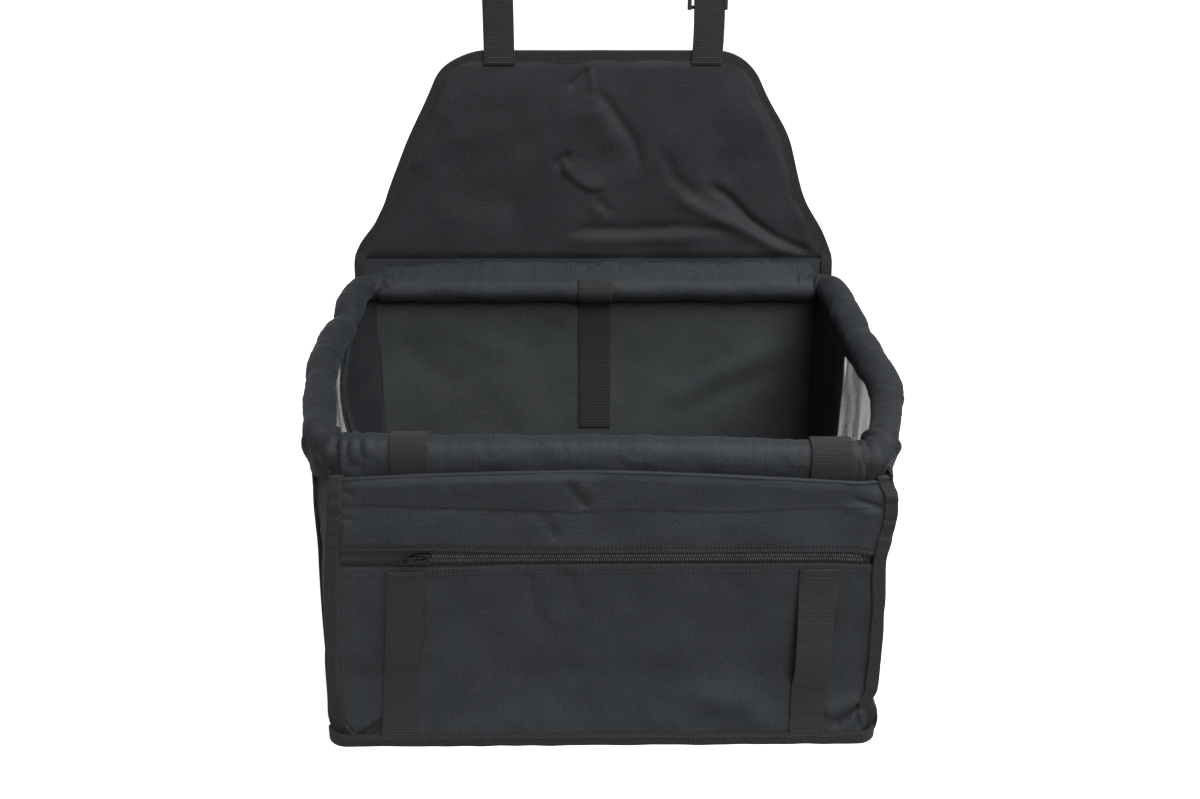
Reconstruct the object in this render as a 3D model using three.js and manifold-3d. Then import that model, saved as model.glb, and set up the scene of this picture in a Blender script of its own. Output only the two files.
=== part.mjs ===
// Folding car carrier for a small pet: an open fabric box with a pipe rim, mesh sides, a zipped
// front pocket and a back flap whose two webbing straps go round a car seat's headrest.
// Millimetres. X is the width, +Y is the back, +Z is up. The origin is the middle of the underside.
import * as THREE from "three";
import { mergeVertices } from "three/addons/utils/BufferGeometryUtils.js";
import Module from "manifold-3d";

const wasm = await Module();
wasm.setup();

// ---- driving dimensions ----
const BASE_WIDTH = 400;
const BASE_DEPTH = 340;
const GAP = 0.4; // left between neighbouring pieces
const FLOOR_SKIN = 1.8; // bottom fabric
const BOARD = 3.6; // stiffening board in the bottom
const PAD = 12; // padded mat on the board
const BINDING_HEIGHT = 9; // edge tape round the bottom
const BINDING_THICK = 3;

const RIM_Z = 228; // height of the rim pipes' centre line
const SLEEVE_R = 12.5; // fabric sleeve, outside
const SLEEVE_BORE_R = 11;
const PIPE_R = 9.5; // plastic rim pipe, outside
const PIPE_BORE_R = 7.5;
const ELBOW_R = 6.4; // corner elbow, pushed into the pipes' ends
const RIM_FRONT_Y = -157;
const RIM_BACK_Y = 155;
const RIM_STRAIGHT = 172; // half length of the front and back sleeves
const RIM_SIDE_X = 210; // half width of the rim where it bows out most
const RIM_BOW = 5.5e-4; // how fast the side pipes curve in from there, per mm
const RIM_BOW_Y = 20;
const CORNER_R = 22; // of the rim's centre line, in plan

const WALL_BOTTOM = FLOOR_SKIN + GAP;
const WALL_TOP = 214; // seam between the walls and the rim sleeves
const FRONT_Y = -172.5; // outer face of the front panels
const FABRIC = 1.2;
const LINING_Y = -168; // outer face of the front lining
const LINING_THICK = 1.5;
const FRONT_HALF_BOTTOM = 199;
const FRONT_HALF_TOP = 189;
const FRONT_BINDING = 8;
const BACK_Y = 168; // inner face of the back wall
const BACK_THICK = 3;
const BACK_HALF = 191;

const ZIP_Z = 152.5;
const ZIP_WINDOW = [146.3, 158.8]; // where the tapes show between the two front panels
const TAPE = { y: -170.8, thick: 1, half: 180, reach: 12.5 };
const COIL = { inner: 0.7, outer: 2.3, y: -172.3, thick: 2.5 };
const SLIDER_X = -124;
const COIL_END = 186;

const WEBBING = 25;
const WEBBING_THICK = 1.4;
const FLAP = { bottom: 246.5, top: 423.6, half: 203, slope: 0.455, corner: 42 };
const FLAP_Y = 170.5; // front face of the flap
const FLAP_THICK = 5;
const FLAP_BINDING = 9;
const STRAP_X = { left: -80, right: 88 };
const STRAP_Y = 168.3; // front face of the headrest straps
const STRAP_BOTTOM = 428.4; // above the bend at each strap's sewn end
const STRAP_TOP = { left: 492, right: 500 };
const ADJUSTER_Z = 458;

// ---- colours ----
const paint = (color, roughness, metalness = 0) =>
  new THREE.MeshStandardMaterial({ color, roughness, metalness });
const OXFORD = paint(0x2b2f33, 0.75);
const TAPE_BLACK = paint(0x1d1d1b, 0.85);
const WEB_BLACK = paint(0x242423, 0.8);
const MESH_GREY = paint(0x3c3e40, 0.7);
const PVC_GREY = paint(0xb9bab6, 0.45);
const BOARD_GREY = paint(0x55585a, 0.8);
const BUCKLE_BLACK = paint(0x151515, 0.4);
const COIL_BLACK = paint(0x26272a, 0.35);
const SLIDER_METAL = paint(0x55565a, 0.35, 0.9);

const carrier = new THREE.Group();

function add(name, geometry, material) {
  const mesh = new THREE.Mesh(geometry, material);
  mesh.name = name;
  carrier.add(mesh);
  return mesh;
}

// ---- shapes ----
function slab([x0, x1], [y0, y1], [z0, z1]) {
  const box = new THREE.BoxGeometry(x1 - x0, y1 - y0, z1 - z0);
  return box.translate((x0 + x1) / 2, (y0 + y1) / 2, (z0 + z1) / 2);
}

// A flat piece cut to an outline in X and Z, from depth y0 back to y1.
function cutPanel(points, [y0, y1]) {
  const outline = new THREE.Shape(points.map(([x, z]) => new THREE.Vector2(x, z)));
  const flat = new THREE.ExtrudeGeometry(outline, { depth: y1 - y0, bevelEnabled: false });
  return flat.rotateX(Math.PI / 2).translate(0, y1, 0);
}

// A strip whose side view is an outline in Y and Z, from x0 across to x1.
function cutStrip(points, [x0, x1]) {
  const outline = new THREE.Shape(points.map(([y, z]) => new THREE.Vector2(y, z)));
  const flat = new THREE.ExtrudeGeometry(outline, { depth: x1 - x0, bevelEnabled: false });
  return flat.rotateX(Math.PI / 2).rotateZ(Math.PI / 2).translate(x0, 0, 0);
}

function sweep(path, steps, radius, bore = 0, sides = 12) {
  const section = new THREE.Shape().absarc(0, 0, radius, 0, 2 * Math.PI);
  if (bore) section.holes.push(new THREE.Path().absarc(0, 0, bore, 0, 2 * Math.PI));
  return new THREE.ExtrudeGeometry(section, { extrudePath: path, steps, curveSegments: sides / 2 });
}

const along = (...points) => new THREE.CatmullRomCurve3(points.map((p) => new THREE.Vector3(...p)));
const straight = (a, b) => new THREE.LineCurve3(new THREE.Vector3(...a), new THREE.Vector3(...b));

function toSolid(geometry) {
  const bare = geometry.clone();
  bare.deleteAttribute("normal");
  bare.deleteAttribute("uv");
  const merged = mergeVertices(bare, 1e-4);
  const vertProperties = merged.attributes.position.array;
  return new wasm.Manifold(
    new wasm.Mesh({ numProp: 3, vertProperties, triVerts: new Uint32Array(merged.index.array) }),
  );
}

function toGeometry(solid) {
  const { vertProperties, triVerts } = solid.getMesh();
  return new THREE.BufferGeometry()
    .setAttribute("position", new THREE.BufferAttribute(vertProperties, 3))
    .setIndex(new THREE.BufferAttribute(triVerts, 1));
}

const join = (...shapes) => toGeometry(shapes.map(toSolid).reduce((a, b) => a.add(b)));
const cut = (shape, ...tools) =>
  toGeometry(tools.map(toSolid).reduce((a, b) => a.subtract(b), toSolid(shape)));

// ---- bottom: skin, board, padded mat and the edge tape round it ----
const halfW = BASE_WIDTH / 2;
const halfD = BASE_DEPTH / 2;
add("floor_panel", slab([-199, 199], [-halfD, halfD], [0, FLOOR_SKIN]), OXFORD);
const boardZ = WALL_BOTTOM;
add("base_board", slab([-185, 185], [-158, 158], [boardZ, boardZ + BOARD]), BOARD_GREY);
const padZ = boardZ + BOARD + GAP;
add("floor_pad", slab([-187, 187], [-160, 160], [padZ, padZ + PAD]), OXFORD);

const bindingOut = halfD + BINDING_THICK + 3; // the tape stands outside the front and back walls
for (const [name, x, y] of [
  ["front", [-halfW, halfW], [-bindingOut, -bindingOut + BINDING_THICK]],
  ["back", [-halfW, halfW], [bindingOut - BINDING_THICK, bindingOut]],
  ["left", [-halfW - 4, -halfW - 1], [-halfD, halfD]],
  ["right", [halfW + 1, halfW + 4], [-halfD, halfD]],
]) {
  add(`base_binding_${name}`, slab(x, y, [0, BINDING_HEIGHT]), TAPE_BLACK);
}

// ---- front: lining, outer panels above and below the zip, side tapes, belt straps ----
const frontHalf = (z) =>
  THREE.MathUtils.mapLinear(z, 0, WALL_TOP, FRONT_HALF_BOTTOM, FRONT_HALF_TOP);

function frontPanel(z0, z1, inset, depth) {
  const low = frontHalf(z0) - inset;
  const high = frontHalf(z1) - inset;
  return cutPanel([[-low, z0], [low, z0], [high, z1], [-high, z1]], depth);
}

const outerFace = [FRONT_Y, FRONT_Y + FABRIC];
const underTape = FRONT_BINDING + GAP;
const liningDepth = [LINING_Y, LINING_Y + LINING_THICK];
add("front_lining", frontPanel(WALL_BOTTOM, WALL_TOP, underTape, liningDepth), OXFORD);
add("front_upper_panel", frontPanel(ZIP_WINDOW[1], WALL_TOP + 3, underTape, outerFace), OXFORD);
add("pocket_panel", frontPanel(WALL_BOTTOM, ZIP_WINDOW[0], underTape, outerFace), OXFORD);

for (const side of ["left", "right"]) {
  const s = side === "left" ? -1 : 1;
  const edge = (z, inset) => [s * (frontHalf(z) - inset), z];
  const outline = [
    edge(WALL_BOTTOM, 0),
    edge(WALL_TOP, 0),
    edge(WALL_TOP, FRONT_BINDING),
    edge(WALL_BOTTOM, FRONT_BINDING),
  ];
  add(`${side}_front_binding`, cutPanel(outline, [FRONT_Y, -168.5]), TAPE_BLACK);
}

// Each belt strap is sewn down just below the zip and again at the bottom.
const BELT_STRAPS = { left: [-136, -146], right: [148.5, 147.5] }; // centre at the top and bottom
for (const [side, [top, bottom]] of Object.entries(BELT_STRAPS)) {
  const w = WEBBING / 2;
  const z = [BINDING_HEIGHT + GAP, ZIP_WINDOW[0] - 3];
  const outline = [[bottom - w, z[0]], [bottom + w, z[0]], [top + w, z[1]], [top - w, z[1]]];
  const y = FRONT_Y - GAP - WEBBING_THICK;
  add(`${side}_belt_strap`, cutPanel(outline, [y, y + WEBBING_THICK]), WEB_BLACK);
}

// ---- sides: one bowed surface from the bottom edge to the rim, in four patches a side ----
const rimX = (y) => RIM_SIDE_X - RIM_BOW * (y - RIM_BOW_Y) ** 2;

function sideX(y, z) {
  const t = (z - WALL_BOTTOM) / (WALL_TOP - WALL_BOTTOM);
  const slack = 3 * Math.sin(Math.PI * t); // the mesh bellies out a little
  return THREE.MathUtils.lerp(halfW - 1, rimX(y) + 1, t) + slack;
}

function sidePatch(s, [y0, y1], [z0, z1], nY, nZ, thick) {
  const points = [];
  for (const depth of [0, thick])
    for (let i = 0; i <= nY; i++)
      for (let j = 0; j <= nZ; j++) {
        const y = THREE.MathUtils.lerp(y0, y1, i / nY);
        const z = THREE.MathUtils.lerp(z0, z1, j / nZ);
        points.push(s * (sideX(y, z) - depth), y, z);
      }
  const at = (layer, i, j) => layer * (nY + 1) * (nZ + 1) + i * (nZ + 1) + j;
  const faces = [];
  const quad = (a, b, c, d) => faces.push(...(s > 0 ? [a, b, c, a, c, d] : [c, b, a, d, c, a]));
  for (let i = 0; i < nY; i++)
    for (let j = 0; j < nZ; j++) {
      quad(at(0, i, j), at(0, i + 1, j), at(0, i + 1, j + 1), at(0, i, j + 1));
      quad(at(1, i, j + 1), at(1, i + 1, j + 1), at(1, i + 1, j), at(1, i, j));
    }
  for (let i = 0; i < nY; i++) {
    quad(at(1, i, 0), at(1, i + 1, 0), at(0, i + 1, 0), at(0, i, 0));
    quad(at(0, i, nZ), at(0, i + 1, nZ), at(1, i + 1, nZ), at(1, i, nZ));
  }
  for (let j = 0; j < nZ; j++) {
    quad(at(0, 0, j), at(0, 0, j + 1), at(1, 0, j + 1), at(1, 0, j));
    quad(at(1, nY, j), at(1, nY, j + 1), at(0, nY, j + 1), at(0, nY, j));
  }
  return new THREE.BufferGeometry()
    .setAttribute("position", new THREE.Float32BufferAttribute(points, 3))
    .setIndex(faces);
}

const MESH_Y = [-138, 104]; // the window of mesh between the fabric strips
const MESH_BOTTOM = 46;
for (const side of ["left", "right"]) {
  const s = side === "left" ? -1 : 1;
  const full = [WALL_BOTTOM, WALL_TOP];
  const low = [WALL_BOTTOM, MESH_BOTTOM - GAP];
  add(`${side}_side_front_strip`, sidePatch(s, [-165, MESH_Y[0] - GAP], full, 1, 6, 2), OXFORD);
  add(`${side}_side_back_strip`, sidePatch(s, [MESH_Y[1] + GAP, 167], full, 1, 6, 2), OXFORD);
  add(`${side}_side_lower_strip`, sidePatch(s, MESH_Y, low, 6, 2, 2), OXFORD);
  add(`${side}_side_mesh`, sidePatch(s, MESH_Y, [MESH_BOTTOM, WALL_TOP], 8, 5, 1.6), MESH_GREY);
}

// ---- back: wall, edge tapes, and the tether strap that bridges from the rim to the wall ----
const backDepth = [BACK_Y, BACK_Y + BACK_THICK];
add("back_wall", slab([-BACK_HALF, BACK_HALF], backDepth, [WALL_BOTTOM, WALL_TOP]), OXFORD);
for (const [side, s] of [["left", -1], ["right", 1]]) {
  const x = [s * (BACK_HALF + GAP), s * (BACK_HALF + GAP + FRONT_BINDING)].sort((a, b) => a - b);
  add(`${side}_back_binding`, slab(x, [167.6, 172.4], [WALL_BOTTOM, WALL_TOP]), TAPE_BLACK);
}

const TETHER_X = [-16.5, 12.5];
const tetherTop = RIM_BACK_Y - SLEEVE_R - GAP; // just clear of the back sleeve's front
const tetherOutline = [
  [tetherTop, 237],
  [tetherTop, 222],
  [BACK_Y - GAP, 86],
  [BACK_Y - GAP - WEBBING_THICK, 86],
  [tetherTop - WEBBING_THICK, 222],
  [tetherTop - WEBBING_THICK, 237],
];
add("tether_strap", cutStrip(tetherOutline, TETHER_X), WEB_BLACK);

// ---- rim: four pipes joined by four elbows, in four fabric sleeves ----
const sidePoint = (s, y) => [s * rimX(y), y, RIM_Z];

// An arc from the front or back run round to the side's bow, with a short straight lead-in.
function cornerPoints(s, y, inward) {
  const slope = 2 * RIM_BOW * (y + inward * CORNER_R - RIM_BOW_Y) * -inward;
  const turn = Math.PI / 2 - Math.atan(slope);
  const endY = y + inward * CORNER_R * (1 - Math.cos(turn));
  const startX = rimX(endY) - CORNER_R * Math.sin(turn);
  const points = [[s * RIM_STRAIGHT, y, RIM_Z]];
  for (let i = 0; i <= 4; i++) {
    const a = (i / 4) * turn;
    const yHere = y + inward * CORNER_R * (1 - Math.cos(a));
    points.push([s * (startX + CORNER_R * Math.sin(a)), yHere, RIM_Z]);
  }
  return points;
}

for (const [end, y, inward] of [["front", RIM_FRONT_Y, 1], ["back", RIM_BACK_Y, -1]]) {
  const reach = RIM_STRAIGHT - GAP;
  const sleevePath = straight([-reach, y, RIM_Z], [reach, y, RIM_Z]);
  const pipePath = straight([-165, y, RIM_Z], [165, y, RIM_Z]);
  add(`${end}_rim_sleeve`, sweep(sleevePath, 1, SLEEVE_R, SLEEVE_BORE_R, 16), OXFORD);
  add(`${end}_rim_pipe`, sweep(pipePath, 1, PIPE_R, PIPE_BORE_R, 12), PVC_GREY);
  for (const [side, s] of [["left", -1], ["right", 1]]) {
    const inner = [[s * 148, y, RIM_Z], [s * 160, y, RIM_Z]];
    const outer = [34, 44, 54].map((d) => sidePoint(s, y + inward * d));
    const path = along(...inner, ...cornerPoints(s, y, inward), ...outer);
    add(`${end}_${side}_elbow`, sweep(path, 12, ELBOW_R, 0, 8), PVC_GREY);
  }
}

for (const [side, s] of [["left", -1], ["right", 1]]) {
  const bow = [-100, -60, -10, 40, 80, 115].map((y) => sidePoint(s, y));
  const backCorner = cornerPoints(s, RIM_BACK_Y, -1).reverse();
  const sleevePath = along(...cornerPoints(s, RIM_FRONT_Y, 1), ...bow, ...backCorner);
  const pipePath = along(...[-117, -80, -40, 0, 40, 80, 115].map((y) => sidePoint(s, y)));
  add(`${side}_rim_sleeve`, sweep(sleevePath, 26, SLEEVE_R, SLEEVE_BORE_R, 14), OXFORD);
  add(`${side}_rim_pipe`, sweep(pipePath, 8, PIPE_R, PIPE_BORE_R, 12), PVC_GREY);
}

// Two webbing bands wrap the front sleeve.
for (const [side, x] of [["left", -130], ["right", 153]]) {
  const path = straight([x - 13, RIM_FRONT_Y, RIM_Z], [x + 13, RIM_FRONT_Y, RIM_Z]);
  add(`${side}_rim_band`, sweep(path, 1, SLEEVE_R + 1.9, SLEEVE_R + GAP, 16), WEB_BLACK);
}

// The strip behind the back sleeve, which the flap hinges from.
const rootTop = RIM_Z + SLEEVE_R + 0.2;
add("flap_root", slab([-194, 194], [BACK_Y, BACK_Y + 2.2], [WALL_TOP + GAP, rootTop]), OXFORD);

// ---- zip ----
const tapeDepth = [TAPE.y, TAPE.y + TAPE.thick];
const coilDepth = [COIL.y, COIL.y + COIL.thick];
const across = [-TAPE.half, TAPE.half];
for (const [half, s] of [["upper", 1], ["lower", -1]]) {
  const rows = (a, b) => [ZIP_Z + s * a, ZIP_Z + s * b].sort((p, q) => p - q);
  add(`zip_tape_${half}`, slab(across, tapeDepth, rows(COIL.outer + GAP, TAPE.reach)), TAPE_BLACK);
  const coilX = [SLIDER_X - 5, COIL_END - 8];
  add(`zip_coil_${half}`, slab(coilX, coilDepth, rows(COIL.inner, COIL.outer)), COIL_BLACK);
}
for (const [side, x] of [["left", SLIDER_X - 8.5], ["right", COIL_END - 7.4]]) {
  const stop = slab([x, x + 2], coilDepth, [ZIP_Z - COIL.outer, ZIP_Z + COIL.outer]);
  add(`zip_stop_${side}`, stop, SLIDER_METAL);
}

// The slider's plates lie before and behind the coils, joined by a web that runs between them.
const sx = (a, b) => [SLIDER_X + a, SLIDER_X + b];
const sz = (a, b) => [ZIP_Z + a, ZIP_Z + b];
const PULL_Y = -174.95; // centre of the pull's pivot bar
add(
  "zip_slider",
  join(
    slab(sx(-6, 6), [-174, -172.7], sz(-4.2, 4.2)),
    slab(sx(-6, 6), [-172.8, -171.2], sz(3, 4.2)),
    slab(sx(-6, 6), [-172.8, -171.2], sz(-4.2, -3)),
    slab(sx(-6, 6), [-169.4, -168.4], sz(-4.2, 4.2)),
    slab(sx(-5.5, -1), [-172.9, -169.2], sz(-0.3, 0.3)),
    cut(
      slab(sx(-4, 4), [-176.7, -173.8], sz(-0.9, 0.9)),
      slab(sx(-2.8, 2.8), [-175.9, -174], sz(-2, 2)),
    ),
  ),
  SLIDER_METAL,
);
add(
  "zip_pull",
  cut(
    slab(sx(-16, 0.5), [PULL_Y - 0.5, PULL_Y + 0.5], sz(-3, 3)),
    slab(sx(-4.9, -0.5), [PULL_Y - 1, PULL_Y + 1], sz(-1.6, 1.6)),
    slab(sx(-14, -10), [PULL_Y - 1, PULL_Y + 1], sz(-1.4, 1.4)),
  ),
  SLIDER_METAL,
);

// ---- flap: a tapered panel with rounded top corners, edged on three sides ----
function flapOutline(inset) {
  const lean = Math.hypot(1, FLAP.slope);
  const halfAt = (z) => FLAP.half - FLAP.slope * (z - FLAP.bottom) - inset * lean;
  const top = FLAP.top - inset;
  const r = FLAP.corner - inset;
  const turn = Math.PI / 2 - Math.atan(FLAP.slope); // from the top edge to the sloping side
  const cx = halfAt(top) - r * Math.tan(turn / 2);
  const points = [];
  for (let i = 0; i <= 8; i++) {
    const a = (i / 8) * turn;
    points.push([cx + r * Math.sin(a), top - r + r * Math.cos(a)]);
  }
  points.push([halfAt(FLAP.bottom), FLAP.bottom]);
  return points; // the right half, from the top edge down
}

const mirrored = (half) => half.map(([x, z]) => [-x, z]).reverse();
const panelHalf = flapOutline(FLAP_BINDING + GAP);
const flapDepth = [FLAP_Y, FLAP_Y + FLAP_THICK];
add("flap_panel", cutPanel([...mirrored(panelHalf), ...panelHalf], flapDepth), OXFORD);
const outer = flapOutline(0);
const inner = flapOutline(FLAP_BINDING);
const bindingOutline = [...mirrored(outer), ...outer, ...[...mirrored(inner), ...inner].reverse()];
add("flap_binding", cutPanel(bindingOutline, [FLAP_Y - 0.5, flapDepth[1]]), TAPE_BLACK);

// ---- headrest straps ----
const strapDepth = [STRAP_Y, STRAP_Y + WEBBING_THICK];
const strapAcross = (side) => [STRAP_X[side] - WEBBING / 2, STRAP_X[side] + WEBBING / 2];
for (const side of ["left", "right"]) {
  const sewn = [413, STRAP_BOTTOM - 3];
  const free = [STRAP_BOTTOM, STRAP_TOP[side]];
  add(`${side}_strap_anchor`, slab(strapAcross(side), strapDepth, sewn), WEB_BLACK);
  add(`${side}_headrest_strap`, slab(strapAcross(side), strapDepth, free), WEB_BLACK);
}

// A ladder adjuster on the right strap: its middle bar is in front of the webbing.
const strapMid = STRAP_Y + WEBBING_THICK / 2;
const bar = (x, y, z, halfX, halfY, halfZ) =>
  slab([x - halfX, x + halfX], [y - halfY, y + halfY], [z - halfZ, z + halfZ]);
const ax = STRAP_X.right;
const az = ADJUSTER_Z + 11;
add(
  "strap_adjuster",
  join(
    bar(ax - 14.5, strapMid, az, 1.6, 2.4, 11),
    bar(ax + 14.5, strapMid, az, 1.6, 2.4, 11),
    bar(ax, strapMid + 1.75, az - 9.5, 15, 0.65, 1.5),
    bar(ax, strapMid + 1.75, az + 9.5, 15, 0.65, 1.5),
    bar(ax, strapMid - 1.75, az, 15, 0.65, 1.8),
  ),
  BUCKLE_BLACK,
);

// Side-release buckle: a plug with two spring prongs, and the hollow socket that it clips into.
const plugZ = STRAP_TOP.right + GAP;
const prong = (s) =>
  join(
    bar(ax + s * 11.2, strapMid, plugZ + 19, 1.5, 2, 11.5),
    bar(ax + s * 12.6, strapMid, plugZ + 27, 2.2, 2, 4),
  );
add(
  "buckle_plug",
  join(
    cut(
      bar(ax, strapMid, plugZ + 5, 16, 3, 5),
      bar(ax, strapMid, plugZ + 4.6, 13, 5, 1.2),
    ),
    bar(ax, strapMid, plugZ + 17, 2, 1.6, 9),
    prong(-1),
    prong(1),
  ),
  BUCKLE_BLACK,
);

const lx = STRAP_X.left;
const socketZ = STRAP_TOP.left + GAP;
const SOCKET = { half: 16.5, thick: 4.8, height: 38 };
add(
  "buckle_socket",
  cut(
    bar(lx, strapMid, socketZ + SOCKET.height / 2, SOCKET.half, SOCKET.thick, SOCKET.height / 2),
    bar(lx, strapMid, socketZ + 26, 14.6, 2.7, 16),
    bar(lx, strapMid, socketZ + 21, 20, 2.7, 4.6),
    bar(lx, strapMid, socketZ + 5, 13, 8, 1.2),
  ),
  BUCKLE_BLACK,
);

export default carrier;
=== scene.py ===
"""Looks for the folding pet carrier: soft fabric walls, a pipe rim in sleeves, net sides, webbing and a zip.

Lengths in this file are in millimetres until Skin.build() turns them into metres.
X is the width, +Y is the back and +Z is up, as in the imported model.
"""
import math

import bmesh
import bpy
import numpy as np
from mathutils import Matrix, Vector


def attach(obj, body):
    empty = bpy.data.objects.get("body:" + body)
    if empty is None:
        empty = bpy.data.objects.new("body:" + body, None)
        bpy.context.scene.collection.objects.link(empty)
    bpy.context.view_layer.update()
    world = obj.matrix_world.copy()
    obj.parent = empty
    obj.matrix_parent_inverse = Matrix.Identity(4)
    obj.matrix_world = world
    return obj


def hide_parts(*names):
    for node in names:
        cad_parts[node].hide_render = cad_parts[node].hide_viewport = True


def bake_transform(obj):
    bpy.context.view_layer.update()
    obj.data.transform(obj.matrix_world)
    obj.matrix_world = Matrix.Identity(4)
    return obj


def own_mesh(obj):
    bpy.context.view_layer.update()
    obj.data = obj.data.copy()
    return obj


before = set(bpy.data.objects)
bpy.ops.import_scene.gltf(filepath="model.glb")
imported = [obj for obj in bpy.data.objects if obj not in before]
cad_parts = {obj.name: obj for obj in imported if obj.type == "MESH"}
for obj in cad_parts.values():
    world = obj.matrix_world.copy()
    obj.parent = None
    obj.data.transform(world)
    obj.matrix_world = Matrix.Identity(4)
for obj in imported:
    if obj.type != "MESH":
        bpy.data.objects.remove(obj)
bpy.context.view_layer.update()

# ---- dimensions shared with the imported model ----
SIDES = (("left", -1), ("right", 1))
SLEEVE_R, PIPE_R, ELBOW_R = 12.4, 7.6, 6
RIM_FRONT_Y, RIM_BACK_Y = -157, 155
RIM_STRAIGHT = 176
WALL_BOTTOM, WALL_TOP = 2.2, 216
FRONT_Y, BACK_Y = -172.5, 168
LINING_Y = -166.5
ZIP_Z, ZIP_TAPE_Y, ZIP_COIL_Y = 152.5, -170.9, -171.6
BASE_TAPE_Z = 4.5
TETHER_X = -2
FLAP_BOTTOM, FLAP_TOP, FLAP_HALF, FLAP_SLOPE, FLAP_CORNER = 246.5, 423.6, 203, 0.455, 42
FLAP_Y, FLAP_THICK, FLAP_TAPE = 170.5, 5, 9
FLAP_BEND = (239, 248.5)  # heights between which the cloth bends as the flap turns
STRAP_BEND = (423.5, 430.5)  # and the straps' webbing
FLAP_FOOT = 244.8
ROOT_BOTTOM, ROOT_TOP, ROOT_Y = 212, 246, 169.6
NET_Y = (-138, 104)
NET_BOTTOM = 46
WEBBING = 25
STITCH, THREAD_THICK = 2.1, 0.5

# The rim as it stands, slightly bent and a little low at the front right: x, y, z from front to back.
LEFT_RIM = (
    (172, -157, 228.5), (182, -155.5, 228.5), (190, -148, 228.5), (195, -128, 228.5), (199, -100, 228.5),
    (204.5, -62, 228.5), (208.5, -26, 228.5), (209, 14, 228), (207, 44, 227.5), (204, 72, 227),
    (204, 98, 228), (204, 122, 229), (199, 141, 229.5), (187, 151, 229), (172, 153.5, 228),
)
RIGHT_RIM = (
    (172, -157, 221.5), (181, -156, 221.7), (188, -149, 222.3), (193.5, -132, 223.5), (200, -108, 225),
    (207, -74, 226), (208.5, -42, 227), (206.5, -12, 227.5), (204, 32, 228), (203, 75, 228),
    (201, 125, 228), (197, 143, 228), (187, 153, 228), (172, 155, 228),
)
FRONT_RIM = (
    (-176, -157, 228.5), (-120, -157, 226.5), (0, -157, 225.8),
    (70, -157, 223.8), (130, -157, 222), (176, -157, 221.5),
)


# ---- small maths ----
def smooth(t):
    t = np.clip(t, 0, 1)
    return t * t * (3 - 2 * t)


def bump(t, centre, width):
    return np.exp(-(((t - centre) / width) ** 2))


def span(start, end, step):
    return np.linspace(start, end, max(2, int(round(abs(end - start) / step)) + 1))


def grid(us, vs):
    return np.meshgrid(us, vs, indexing="ij")


def join(*parts):
    """Points or UVs from their coordinates."""
    return np.stack(np.broadcast_arrays(*parts), -1)


def distances(line):
    """How far along a line each of its points is."""
    return np.concatenate([[0], np.cumsum(np.linalg.norm(np.diff(line, axis=0), axis=1))])


def unit(vectors):
    return vectors / np.linalg.norm(vectors, axis=1)[:, None]


def ripples(u, v, length, seed, stretch=1.0, count=10):
    """Soft random undulation, about -1 to 1. length is from crest to crest; stretch draws it out along v."""
    rng = np.random.default_rng(seed)
    total = 0
    for _ in range(count):
        angle = rng.uniform(0, 2 * math.pi)
        k = 2 * math.pi / length * rng.uniform(0.65, 1.5)
        phase = rng.uniform(0, 2 * math.pi)
        total = total + np.sin(k * (u * math.cos(angle) + v * math.sin(angle) / stretch) + phase)
    return total / math.sqrt(count * 1.6)


def nearest(u, v, points):
    """Distance to a line of points, positive on its left, and the share of the line passed by there."""
    best = np.full(np.broadcast(u, v).shape, 1e9)
    signed = np.zeros_like(best)
    where = np.zeros_like(best)
    p = np.asarray(points, float)
    run = distances(p)
    sizes = np.linalg.norm(np.diff(p, axis=0), axis=1)
    for a, b, size, start in zip(p, p[1:], sizes, run):
        along = (b - a) / size
        t = np.clip((u - a[0]) * along[0] + (v - a[1]) * along[1], 0, size)
        away = np.hypot(u - a[0] - t * along[0], v - a[1] - t * along[1])
        left = np.where((v - a[1]) * along[0] - (u - a[0]) * along[1] > 0, 1, -1)
        nearer = away < best
        best = np.where(nearer, away, best)
        signed = np.where(nearer, away * left, signed)
        where = np.where(nearer, start + t, where)
    return signed, where / run[-1]


def crease(u, v, points, width, fade=0.25):
    """A ridge of height 1 along a line of points, fading out over a share of it at both ends."""
    away, share = nearest(u, v, points)
    return np.exp(-((away / width) ** 2)) * smooth(share / fade + 0.15) * smooth((1 - share) / fade + 0.15)


def lip(u, v, points, width, reach, fade=0.25):
    """A fold of height 1 just left of a line of points: steep at the line, sinking slowly over its reach."""
    away, share = nearest(u, v, points)
    ends = smooth(share / fade + 0.1) * smooth((1 - share) / fade + 0.1)
    over = np.clip(away, 0, None)
    return (1 - np.exp(-((over / width) ** 2))) * np.exp(-((over / reach) ** 2)) * ends


def creased(base, u, v, folds):
    """Adds folds to a surface, each given as height, line, width and maybe fade."""
    for height, points, *how in folds:
        base = base + height * crease(u, v, points, *how)
    return base


def even(line, step):
    """The same line with points an even step apart."""
    run = distances(line)
    at = span(0, run[-1], step)
    return np.stack([np.interp(at, run, line[:, k]) for k in range(3)], 1)


def smooth_line(points, step):
    """A Catmull-Rom curve through points, with a point every step."""
    p = np.asarray(points, float)
    p = np.concatenate([[2 * p[0] - p[1]], p, [2 * p[-1] - p[-2]]])
    t = np.linspace(0, 1, 12)[:, None]
    parts = []
    for a, b, c, d in zip(p, p[1:], p[2:], p[3:]):
        bend = (2 * a - 5 * b + 4 * c - d) * t**2 + (3 * b - 3 * c + d - a) * t**3
        parts.append(0.5 * (2 * b + (c - a) * t + bend)[:-1])
    parts.append(p[-2:-1])
    return even(np.concatenate(parts), step)


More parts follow.
